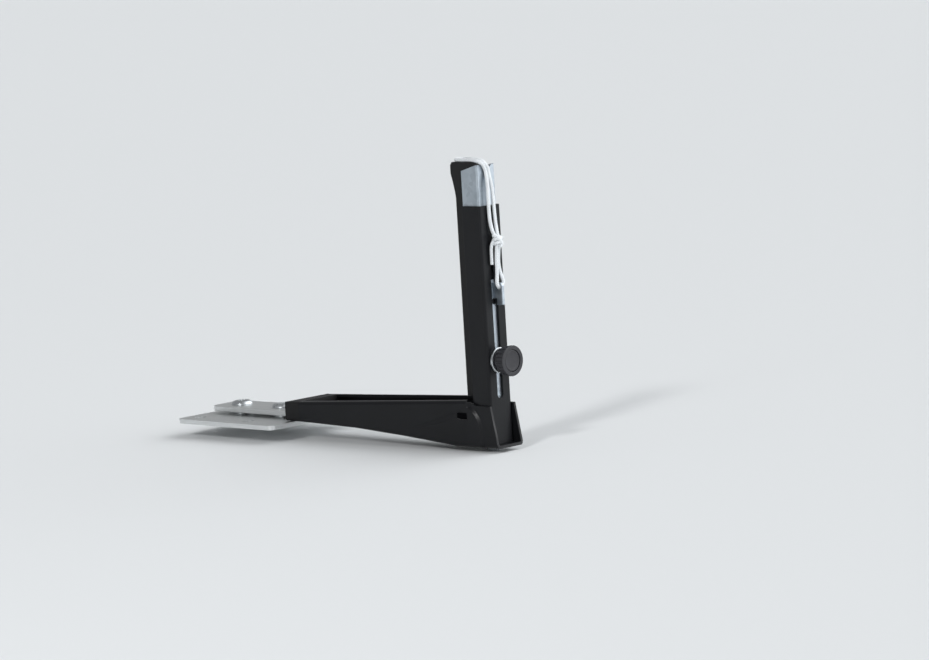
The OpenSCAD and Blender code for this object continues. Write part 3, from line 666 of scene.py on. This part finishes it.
arm = block("dressed_arm", (arm_low[0], -1, -1), (BLANK_END, 1, 1))
score(arm, OUT, [*(x for x, z in UNDERSIDE[2:-1]), shoulder_x, step_x])
edit(arm, "FACE", lambda c, n: n.z > 0.5 or abs(n.x) > 0.5, DELETE_FACES)
reshape(arm, press)
LIP_W, BOTTOM_R, TOP_R = 3.6, 2.4, 2.0
for way in (-1, 1):
    edit(arm, "EDGE", lambda m, d: m.y * way > 0 and m.x < shoulder_x and m.z > top_edge(m.x) - 0.05,
         pull(0, -way * LIP_W, 0))
edit(arm, "EDGE", lambda m, d: abs(d.x) > 0.9 and m.x < shoulder_x and m.z > top_edge(m.x) - 0.05
     and abs(m.y) > half_width(m.x) - 0.3, round_off(TOP_R, 5))
edit(arm, "EDGE", lambda m, d: abs(d.x) > 0.9 and abs(m.z - underside(m.x)) < 0.05
     and abs(m.y) > half_width(m.x) - 0.3, round_off(BOTTOM_R, 6))
modify(arm, "SOLIDIFY", thickness=ARM_WALL, offset=-1, use_even_offset=True)
score(arm, OUT, [shoulder_x + 0.6 + 0.4 * k for k in range(32)], lambda c, n: c.x > shoulder_x - 0.1)
score(arm, UP, [-2.2 + 0.8 * k for k in range(25)],
      lambda c, n: c.x > shoulder_x - 0.1 and abs(n.y) > 0.9)
reshape(arm, step_in)

window = block("window", (ARM_WINDOW_X[0], -25, ARM_WINDOW_Z[0]), (ARM_WINDOW_X[1], 25, ARM_WINDOW_Z[1]))
edit(window, "EDGE", lambda m, d: abs(d.y) > 0.9, round_off(0.7, 3))
cut(arm, window)
trim(arm, (post_high[0] + END_OUT, 0, arm_low[2]),
     Vector((cheek_z - arm_low[2], 0, END_LEAN)).normalized())
soften(arm, 0.22, angle=35, flat=0.02)
hand_over(arm, "root", "black_coated_steel", powder_coat, "arm_channel")

SPIGOT_IN, SPIGOT_TALL = 2.6, 6.4  # the cap's spigot: how far in from the cap's side, and its height
arm_start = arm_low[0]
cap = block("dressed_cap", (cap_low[0], -1, -1), (arm_start, 1, 1))
reshape(cap, press)
edit(cap, "EDGE", lambda m, d: m.x < cap_low[0] + 0.1 and m.z < cap_low[2] + 0.1, round_off(2.9, 7))
edit(cap, "EDGE", lambda m, d: m.x < cap_low[0] + 0.1 and abs(d.z) > 0.9, round_off(0.9, 4))
edit(cap, "EDGE", lambda m, d: abs(d.x) > 0.9 and m.z < cap_low[2] + 1, round_off(BOTTOM_R, 6))
edit(cap, "EDGE", lambda m, d: abs(d.x) > 0.5 and m.z > top_edge(m.x) - 0.05 and abs(m.y) > 15,
     round_off(TOP_R, 5))
spigot = block("spigot", (arm_start - 2, -cap_high[1] + SPIGOT_IN, tongue_bottom),
               (cap_high[0], cap_high[1] - SPIGOT_IN, tongue_bottom + SPIGOT_TALL))
unite(cap, spigot)
cut(cap, block("tongue_slot", (cap_low[0] - 1, tongue_low[1] - 0.2, tongue_bottom - 0.8),
               (cap_high[0] + 2, tongue_high[1] + 0.2, tongue_top + 0.2)))
soften(cap, 0.25)
hand_over(cap, "root", "black_plastic", moulded_nylon, "arm_end_cap")

# ---- post, foot ----

SLOT_W = 4.4
SLOT_LOW, SLOT_HIGH = 20.9, 94.0
POST_T = 1.3
post = block("dressed_post", post_low, post_high)
edit(post, "FACE", lambda c, n: n.x < -0.5 or abs(n.z) > 0.5, DELETE_FACES)
edit(post, "EDGE", lambda m, d: abs(d.z) > 0.9 and m.x > post_high[0] - 0.1, round_off(1.6, 6))
modify(post, "SOLIDIFY", thickness=POST_T, offset=-1, use_even_offset=True)
slot_tool = block("slot", (post_high[0] - 4, -SLOT_W / 2, SLOT_LOW),
                  (post_high[0] + 4, SLOT_W / 2, SLOT_HIGH))
edit(slot_tool, "EDGE", lambda m, d: abs(d.x) > 0.9, round_off(SLOT_W / 2 - 0.01, 10))
pin_place = [(a + b) / 2 for a, b in zip(*box("foot_pin"))]
cut(post, slot_tool, rod("pin_hole", "Y", pin_place, 60, 4.1))
soften(post, 0.2)
hand_over(post, "root", "black_coated_steel", powder_coat, "post_channel")

pin = turned("dressed_pin", SIDE, pin_place,
             [(post_low[1], 1.6), (post_low[1] + 0.4, 2), (post_high[1] - 0.4, 2), (post_high[1], 1.6)])
soften(pin, 0)
hand_over(pin, "root", "black_coated_steel", powder_coat, "foot_pin")

foot_low, foot_high = box("foot_screw")
foot_x = (foot_low[0] + foot_high[0]) / 2
foot_screw = turned("dressed_foot_screw", UP, (foot_x, 0, 0),
                    [(foot_low[2], 3.0), (foot_low[2] + 0.2, 3.5), (foot_low[2] + 1.0, 4.3),
                     (foot_low[2] + 2.0, 4.72), (arm_low[2], 4.75), (arm_low[2], 2.5), (foot_high[2], 2.5)])
cut(foot_screw, rod("socket", "Z", (foot_x, 0, foot_low[2]), 2.4, 3.6, sides=6))
soften(foot_screw, 0.1)
hand_over(foot_screw, "root", "galvanised_steel", zinc_plate, "foot_screw")

# ---- mast: insert and rail ----

insert_low, insert_high = box("height_insert")
INSERT_T, INSERT_FALL = 1.2, 3.0
UNDER_HOLE_Y, UNDER_HOLE_Z, UNDER_HOLE_D = 0.7, 73.7, 3.6
insert = block("dressed_insert", insert_low, insert_high)
edit(insert, "FACE", lambda c, n: n.x < -0.5 or abs(n.z) > 0.5, DELETE_FACES)
edit(insert, "EDGE", lambda m, d: abs(d.z) > 0.9 and m.x > insert_high[0] - 0.1, round_off(1.25, 6))
modify(insert, "SOLIDIFY", thickness=INSERT_T, offset=-1, use_even_offset=True)
run = insert_high[0] - INSERT_T - insert_low[0]
trim(insert, (insert_high[0] - INSERT_T, 0, insert_high[2]), Vector((-INSERT_FALL, 0, run)).normalized())
NOTCH_Y, NOTCH_DEEP = 2.4, 2.2
notch = block("notch", (-3, -3, -3), (3, 3, 3))
notch_z = insert_high[2] - NOTCH_DEEP + 3 * math.sqrt(2)
notch.data.transform(Matrix.Translation((insert_high[0], NOTCH_Y, notch_z))
                     @ Matrix.Rotation(math.pi / 4, 4, "X"))
WINDOW_LOW, WINDOW_HIGH, WINDOW_W = 85.3, 99.3, 5.0
opening = block("opening", (insert_high[0] - 3, -WINDOW_W / 2, WINDOW_LOW),
                (insert_high[0] + 3, WINDOW_W / 2, WINDOW_HIGH))
edit(opening, "EDGE", lambda m, d: abs(d.x) > 0.9, round_off(WINDOW_W / 2 - 0.01, 8))
hook_box = box("cord_hook")
TENON_LOW, TENON_HIGH, TENON_GAP = 76.8, 82.8, 0.05
under_hole = rod("under_hole", "X", (insert_high[0], UNDER_HOLE_Y, UNDER_HOLE_Z), 6, UNDER_HOLE_D)
tenon_slit = block(
    "tenon_slit", (insert_high[0] - 3, hook_box[0][1] - TENON_GAP, TENON_LOW - TENON_GAP),
    (insert_high[0] + 3, hook_box[1][1] + TENON_GAP, TENON_HIGH + TENON_GAP))
cut(insert, notch, opening, under_hole, tenon_slit)
soften(insert, 0.18)
hand_over(insert, "mast", "galvanised_steel", galvanised, "height_insert")

rail_low, rail_high = box("net_rail")
RAIL_X0, RAIL_HALF, NOSE_Z, NOSE_TOP, NOSE_BACK = 173.4, 4.5, 130.0, 143.5, 1.2
CHAMFER_X, CHAMFER_Z = 5, 3.4
GROOVE_IN, GROOVE_D, SLIT_HALF = 3.4, 4.2, 0.8
stem_x0 = insert_low[0] - 0.3
rail = block("dressed_rail", (RAIL_X0, -RAIL_HALF, rail_low[2]), (stem_x0, RAIL_HALF, rail_high[2]))
edit(rail, "FACE", lambda c, n: n.x > 0.5,
     pull(0, 0, 0), grow((1, rail_high[1] / RAIL_HALF, 1), (stem_x0, 0, 0)),
     pull(rail_high[0] - CHAMFER_X - stem_x0, 0, 0), pull(CHAMFER_X, 0, 0))
edit(rail, "VERT", lambda c: c.x > rail_high[0] - 0.1 and c.z > rail_high[2] - 1, move(0, 0, -CHAMFER_Z))
score(rail, UP, [NOSE_Z, NOSE_Z + 4, NOSE_Z + 9, NOSE_TOP, rail_high[2] - 1.6],
      lambda c, n: c.x < stem_x0 - 0.01)


def nose(x, y, z):
    """Draws the top of the rail's edge out to a nose."""
    if x > RAIL_X0 + 0.1 or z < NOSE_Z:
        return x, y, z
    t = min((z - NOSE_Z) / (NOSE_TOP - NOSE_Z), 1)
    out = (RAIL_X0 - rail_low[0]) * t ** 1.3
    return x - out + (NOSE_BACK if z > rail_high[2] - 0.1 else 0), y, z


reshape(rail, nose)
edit(rail, "EDGE", lambda m, d: abs(d.z) > 0.8 and m.x < RAIL_X0 + 1, round_off(1.5, 5))
groove_top = NOSE_Z - 5
plate_box = box("clamp_plate")
bolt_box = box("clamp_bolt")
groove = rod("groove", "Z", (RAIL_X0 + GROOVE_IN, 0, (rail_low[2] - 1 + groove_top) / 2),
             groove_top - rail_low[2] + 1, GROOVE_D)
slit = block("slit", (rail_low[0] - 1, -SLIT_HALF, rail_low[2] - 1),
             (RAIL_X0 + GROOVE_IN, SLIT_HALF, groove_top))
cut(rail, groove, slit,
    block("pocket", (bolt_box[0][0] - 0.6, plate_box[0][1] - 0.3, plate_box[0][2] - 0.3),
          (rail_high[0] + 2, plate_box[1][1] + 0.3, plate_box[1][2] + 0.3)),
    block("pin_pocket", (hook_box[0][0] - 0.4, -1.8, TENON_LOW - 0.4),
          (rail_high[0] + 2, 4, TENON_HIGH + 0.4)))
soften(rail, 0.3, steps=3)
hand_over(rail, "mast", "black_plastic", moulded_nylon, "net_rail")

# ---- knob, washer ----

washer_low, washer_high = box("knob_washer")
knob_low, knob_high = box("lock_knob")
bolt_z = (washer_low[2] + washer_high[2]) / 2
axle = (0, 0, bolt_z)
washer_r = washer_high[1]
washer = turned("dressed_washer", OUT, axle,
                [(washer_low[0], washer_r - 0.25), (washer_low[0] + 0.2, washer_r),
                 (washer_high[0] - 0.35, washer_r), (washer_high[0], washer_r - 0.35),
                 (washer_high[0], 2.3), (washer_high[0] - 0.2, 2.1), (washer_low[0], 2.1)],
                ring=True, sides=96)
soften(washer, 0)
hand_over(washer, "knob_follower", "galvanised_steel", zinc_plate, "knob_washer")

RIBS, RIB_STEPS, RIB_DEEP = 24, 8, 0.42
KNOB_BORE, DISH_DEEP = 2.9, 1.2
knob_r = knob_high[1]
neck_r, back_r = 5.0, 7.7
grip_x = knob_low[0] + 2.7
dish_r = box("knob_cap")[1][1]
knob = turned("dressed_knob", OUT, axle,
              [(knob_low[0], neck_r - 0.3), (knob_low[0] + 0.3, neck_r), (grip_x - 0.5, neck_r),
               (grip_x - 0.15, neck_r + 0.15), (grip_x, neck_r + 0.5), (grip_x, back_r - 0.7),
               (grip_x + 0.2, back_r - 0.2), (grip_x + 0.7, back_r + 0.02), (grip_x + 2.5, back_r + 0.25),
               (knob_high[0] - 1.2, knob_r - 0.12), (knob_high[0] - 0.6, knob_r),
               (knob_high[0] - 0.2, knob_r - 0.15), (knob_high[0], knob_r - 0.5),
               (knob_high[0], dish_r + 0.35), (knob_high[0] - 0.15, dish_r + 0.1),
               (knob_high[0] - DISH_DEEP, dish_r), (knob_high[0] - DISH_DEEP, KNOB_BORE),
               (knob_low[0], KNOB_BORE + 0.6)],
              sides=RIBS * RIB_STEPS, ring=True)


def grip(x, y, z):
    """Presses the finger grooves between the ribs into the side of the grip."""
    radius = math.hypot(y, z - bolt_z)
    if radius < back_r - 0.75 or x < grip_x + 0.1 or x > knob_high[0] - 0.4:
        return x, y, z
    phase = math.atan2(z - bolt_z, y) * RIBS / (2 * math.pi)
    deep = RIB_DEEP * (0.5 - 0.5 * math.cos(2 * math.pi * phase)) ** 1.6
    k = (radius - deep) / radius
    return x, y * k, bolt_z + (z - bolt_z) * k


reshape(knob, grip)
soften(knob, 0, smooth=40)
hand_over(knob, "knob", "knob_plastic", moulded_abs, "lock_knob")

disc_low, disc_high = box("knob_cap")
face_x = disc_high[0]
disc = turned("dressed_knob_cap", OUT, axle,
              [(disc_low[0], dish_r - 0.1), (face_x - 0.3, dish_r - 0.1), (face_x - 0.05, dish_r - 0.4),
               (face_x, dish_r - 0.8), (face_x - 0.12, dish_r - 1.6), (face_x - 0.25, 2.6),
               (face_x - 0.28, 0.6)], sides=96)
soften(disc, 0, smooth=40)
hand_over(disc, "knob", "knob_plastic", moulded_abs, "knob_cap")

# ---- cord hook ----

hook_low, hook_high = box("cord_hook")
insert_x1 = insert_high[0]
THROAT_W, THROAT_H, THROAT_R, HOOK_R, TIP_R = 2.4, 3.9, 1.2, 2.0, 0.6
CORD_HOLE_D, PIN_HOLE_D = 2.7, 1.7
CORD_HOLE = (197.9, 81.7)
hook = block("dressed_hook", (insert_x1, hook_low[1], hook_low[2]), hook_high)
edit(hook, "EDGE", lambda m, d: abs(d.y) > 0.9 and m.x > hook_high[0] - 0.1 and m.z > hook_high[2] - 0.1,
     round_off(HOOK_R, 8))
edit(hook, "EDGE", lambda m, d: abs(d.y) > 0.9 and m.x > hook_high[0] - 0.1 and m.z < hook_low[2] + 0.1,
     round_off(TIP_R, 4))
throat = block("throat", (insert_x1 - 2, -5, hook_low[2] - 2),
               (insert_x1 + THROAT_W, 5, hook_low[2] + THROAT_H))
edit(throat, "EDGE", lambda m, d: abs(d.y) > 0.9 and m.x > insert_x1 and m.z > hook_low[2],
     round_off(THROAT_R, 6))
tenon = block("tenon", (hook_low[0], hook_low[1], TENON_LOW), (insert_x1 + 1, hook_high[1], TENON_HIGH))
unite(hook, tenon)
pin_mid = [(a + b) / 2 for a, b in zip(*box("hook_pin"))]
cut(hook, throat, rod("cord_hole", "Y", (CORD_HOLE[0], 0, CORD_HOLE[1]), 12, CORD_HOLE_D, sides=32),
    rod("pin_hole", "Y", pin_mid, 12, PIN_HOLE_D, sides=32))
soften(hook, 0.25, steps=3)
hand_over(hook, "mast", "galvanised_steel", galvanised, "cord_hook")

# ---- CAD parts that stay as they are ----

for name, node in nodes.items():
    node.data.materials.clear()
    node.data.materials.append(turned_brass if name == "knob_bush" else zinc_plate)

# ---- floor, light ----

floor = start("floor", ops.primitive_plane_add, size=400, location=(0, 0, foot_low[2] * MM - 0.0001))
pale_floor, tree, shader = new_finish("pale_floor", roughness=0.9, specular_ior_level=0.1)
shader.inputs["Base Color"].default_value = colour("#d9dbdc")
floor.data.materials.append(pale_floor)

world = bpy.data.worlds.new("studio")
bpy.context.scene.world = world
world.use_nodes = True
tree = world.node_tree
tree.nodes.clear()
BRIGHT_WAY = (0.68, 0.71, 0.16)  # the side from which the studio is brightest
way = add(tree, "ShaderNodeTexCoord").outputs["Generated"]
key_side = add(tree, "ShaderNodeVectorMath", {0: way, 1: BRIGHT_WAY}, operation="DOT_PRODUCT")
glow = add(tree, "ShaderNodeMapRange", {0: key_side.outputs["Value"], 1: 0.25, 2: 0.95, 3: 0.36, 4: 3.1},
           interpolation_type="SMOOTHSTEP")
soft = add(tree, "ShaderNodeBackground", {0: colour("#f4f6f8"), 1: glow.outputs[0]})
add(tree, "ShaderNodeOutputWorld", {0: soft.outputs[0]})


def lamp(name, kind, energy):
    """A lamp of a kind, at the origin."""
    data = bpy.data.lights.new(name, kind)
    data.energy = energy
    made = bpy.data.objects.new(name, data)
    bpy.context.scene.collection.objects.link(made)
    return made


def sun(name, toward, strength, angle):
    """A distant soft lamp that shines from a direction."""
    made = lamp(name, "SUN", strength)
    made.data.angle = math.radians(angle)
    made.rotation_euler = Vector(toward).to_track_quat("Z", "Y").to_euler()


sun("key", (0.85, 0.15, 0.55), 0.25, 25)
sun("glint", (0.22, -0.79, 0.57), 1.0, 8)

# a tall strip light beside the camera, which draws the bends and the joggle
STRIP_PLACE, STRIP_AIM = (0.42, -1.15, 0.42), (0.19, 0, 0.06)
strip = lamp("strip", "AREA", 1.4)
strip.data.shape = "RECTANGLE"
strip.data.size, strip.data.size_y = 0.22, 0.85
strip.location = STRIP_PLACE
strip.rotation_euler = (Vector(STRIP_PLACE) - Vector(STRIP_AIM)).to_track_quat("Z", "Y").to_euler()

bpy.context.scene.view_settings.view_transform = "Standard"
